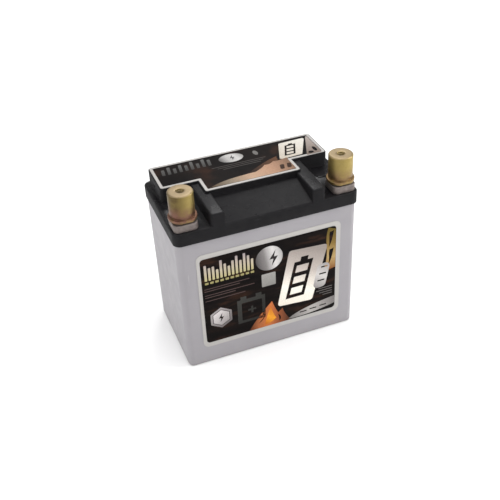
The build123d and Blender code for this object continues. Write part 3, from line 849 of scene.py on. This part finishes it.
def print_front_flame(label):
    """Orange flames with a bright core at the bottom edge, and a silver band to their right."""
    flame = sweep(
        ((-20.5, -41.6), (-15.0, -33.0), (-8.0, -25.0), (0.4, -16.6)),
        ((0.4, -16.6), (2.0, -22.0), (3.4, -26.0), (5.6, -30.4)),
        ((5.6, -30.4), (6.4, -29.6), (7.6, -28.4), (9.6, -26.6)),
        ((9.6, -26.6), (10.0, -30.0), (12.0, -34.4), (16.6, -41.6)),
        ((16.6, -41.6), (3.0, -41.6), (-8.0, -41.6), (-20.5, -41.6)),
    )
    left_tear = sweep(
        ((-12.4, -36.4), (-9.4, -34.2), (-7.0, -31.0), (-5.0, -27.0)),
        ((-5.0, -27.0), (-6.0, -31.0), (-8.4, -35.4), (-12.4, -36.4)),
    )
    right_tear = sweep(
        ((6.4, -39.6), (6.6, -36.4), (6.2, -34.0), (5.2, -31.6)),
        ((5.2, -31.6), (8.0, -34.0), (9.0, -37.0), (6.4, -39.6)),
    )
    label.draw(2, "front_flame", [flame, left_tear, right_tear], "flame_ink",
               (70, 36, 22), (156, 92, 56), (186, 106, 58), (140, 78, 48), (84, 50, 34),
               start=(-19, -33), end=(14, -37))
    core = sweep(
        ((-6.6, -39.5), (-5.0, -33.0), (-3.4, -28.0), (-0.8, -21.5)),
        ((-0.8, -21.5), (0.6, -27.5), (1.8, -32.0), (3.8, -35.0)),
        ((3.8, -35.0), (1.0, -38.0), (-3.0, -39.5), (-6.6, -39.5)),
    )
    label.draw(3, "front_flame_core", [core], "core_ink",
               (176, 96, 34), (222, 150, 44), (190, 108, 42), start=(-7, -38), end=(3, -26))

    band = sweep(
        ((13.5, -40.8), (22.0, -34.6), (38.0, -31.4), (57.0, -29.0)),
        ((57.0, -29.0), (57.1, -32.0), (57.1, -34.0), (57.0, -36.6)),
        ((57.0, -36.6), (42.0, -40.6), (26.0, -41.4), (13.5, -40.8)),
    )
    starts = [(left, -37.6 + 0.07 * (left - 24)) for left in (25.0, 34.0, 43.0)]
    cuts = [rectangle(left, low, left + 6.4, low + 1.2, 0.4) for left, low in starts]
    label.draw(2, "front_silver_band", [band] + cuts, "band_ink",
               (104, 100, 98), (172, 168, 164), (116, 112, 110), start=(14, -39), end=(56, -34))


def print_front_label():
    """Everything that is printed on the front of the case."""
    label = Label("front_label", (0, -1, 0), (0, 0, 1), FRONT_PRINT_SHIFT)
    half_width, half_height = (label.size[axis] / 2 - FRONT_FIELD_INSET[axis] for axis in (0, 1))
    field = rectangle(-half_width, -half_height, half_width, half_height, FRONT_FIELD_CORNER)
    label.stamp(1, "front_field", [field], field_ink("front_field_ink"))
    print_front_marks(label)
    print_front_middle(label)
    print_front_right(label)
    print_front_badges(label)
    print_front_flame(label)


# ---------------------------------------------------------------- top print
def print_top_field(label):
    """The black ground, which follows the T shape of the cover."""
    half_width, half_height = label.size[0] / 2, label.size[1] / 2
    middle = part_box("top_label")[0].y / MM + half_height
    right = half_width - TOP_FIELD_INSET
    tab = TAB_HALF - TOP_FIELD_INSET
    back = half_height - TOP_FIELD_INSET
    step = BLOCK_FRONT - middle + TOP_FIELD_INSET
    tee = [
        (-right, step), (-tab, step), (-tab, -back), (tab, -back),
        (tab, step), (right, step), (right, back), (-right, back),
    ]
    label.stamp(1, "top_field", [rounded(tee, TOP_FIELD_CORNER)], field_ink("top_field_ink"))


def print_top_marks(label):
    """Charge-level bars, an ellipse with a bolt, a dot, rules, and a panel with a battery gauge."""
    heights = (9.0, 11.5, 8.0, 11.5, 9.0, 12.5, 8.0, 12.5, 10.0)
    label.draw(2, "top_charge_bars", bars(-63.0, 9.5, 2.6, 4.8, heights, 0.7, 0.12), "top_bar_ink",
               (52, 51, 50), (92, 91, 90), start=(0, 8), end=(0, 22))
    label.draw(2, "top_ellipse", [ellipse(-4.0, 14.3, 10.4, 6.8)], "top_ellipse_ink",
               (84, 82, 82), (168, 166, 164), (186, 184, 182), (122, 120, 118), start=(-14, 12), end=(7, 17))
    label.draw(3, "top_ellipse_bolt", [bolt(-3.0, 14.3, 9.0)], "top_bolt_ink", (72, 70, 70))
    label.draw(2, "top_dot", [ellipse(17.0, 14.0, 2.0, 3.8, 32)], "top_dot_ink", (104, 102, 100))
    rules = [rectangle(-24.0 + 4 * k, 3.6 - 2.6 * k, 22.0 - 3 * k, 4.5 - 2.6 * k) for k in range(3)]
    label.draw(2, "top_dim_rules", rules, "top_rule_ink", (62, 58, 56))
    panel = rounded([(30.6, -5.4), (50.8, -4.6), (63.8, 21.0), (40.0, 20.0)], 1.6)
    label.draw(2, "top_panel", [panel] + gauge(36.6, -1.6, 9.6, 18.0, TOP_SHEAR), "top_panel_ink",
               (182, 172, 158), (206, 202, 194), start=(32, -4), end=(58, 20))


def print_top_sweeps(label):
    """Brown and peach sweeps along the front of the T, and a pale patch at its right end."""
    brown = sweep(
        ((-6.0, -17.0), (8.0, -12.0), (14.0, -4.0), (30.6, 1.0)),
        ((30.6, 1.0), (28.6, -1.0), (30.0, -3.0), (29.0, -5.0)),
        ((29.0, -5.0), (20.0, -10.0), (8.0, -16.0), (-6.0, -17.0)),
    )
    label.draw(2, "top_brown_sweep", [brown], "top_brown_ink",
               (38, 24, 16), (92, 62, 42), start=(2, -12), end=(30, 2))
    peach = sweep(
        ((-34.8, -23.8), (-24.0, -17.0), (-10.0, -16.4), (6.0, -15.6)),
        ((6.0, -15.6), (10.0, -13.6), (14.0, -11.0), (16.0, -8.4)),
        ((16.0, -8.4), (20.0, -9.4), (22.0, -8.0), (24.6, -5.6)),
        ((24.6, -5.6), (28.0, -7.0), (32.0, -5.6), (36.8, -4.6)),
        ((36.8, -4.6), (36.8, -10.0), (36.8, -17.0), (36.8, -23.8)),
        ((36.8, -23.8), (12.0, -24.2), (-12.0, -24.2), (-34.8, -23.8)),
    )
    label.draw(3, "top_peach_sweep", [peach], "top_peach_ink",
               (72, 56, 40), (128, 116, 100), (176, 146, 122), (168, 132, 108), (118, 92, 74),
               start=(-34, -24), end=(36, -14))
    cuts = [rectangle(left, -20.5, left + 3.6, -13.5, 1.2, 0.3) for left in (25.0, 31.0)]
    label.draw(4, "top_dark_cuts", cuts, "top_cut_ink", (52, 34, 24))
    end = rounded([(53.5, -7.8), (66.8, -7.8), (66.8, 22.2), (65.4, 22.2)], 0.6)
    spots = [ellipse(58.6, -4.6, 2.4, 2.0, 24), ellipse(63.6, -0.6, 1.6, 4.0, 24)]
    label.draw(3, "top_end_patch", [end] + spots, "top_end_ink",
               (112, 98, 90), (158, 148, 142), start=(56, -8), end=(66, 20))


def print_top_label():
    """Everything that is printed on the cover."""
    label = Label("top_label", (0, 0, 1), (0, 1, 0))
    print_top_field(label)
    print_top_marks(label)
    print_top_sweeps(label)


# ---------------------------------------------------------------- the whole model
make_camera()
make_studio()
materials = make_materials()
finish_cad_nodes(materials)
soften("lid", LID_EDGE, "lid_plastic", materials)
soften("vent_cover", COVER_EDGE, "lid_plastic", materials)
for pole in ("positive", "negative"):
    make_post(pole, brass(f"{pole}_brass", *POST_FLANK_SHADE_AND_FOOT_BROWNING[pole]))
    soften(f"{pole}_terminal", TERMINAL_EDGE, "lead", materials)
    soften(f"{pole}_washer", WASHER_EDGE, "spring_steel", materials)
for number in range(1, VALVE_CAPS + 1):
    soften(f"valve_cap_{number}", CAP_EDGE, "valve_rubber", materials)
print_front_label()
print_top_label()
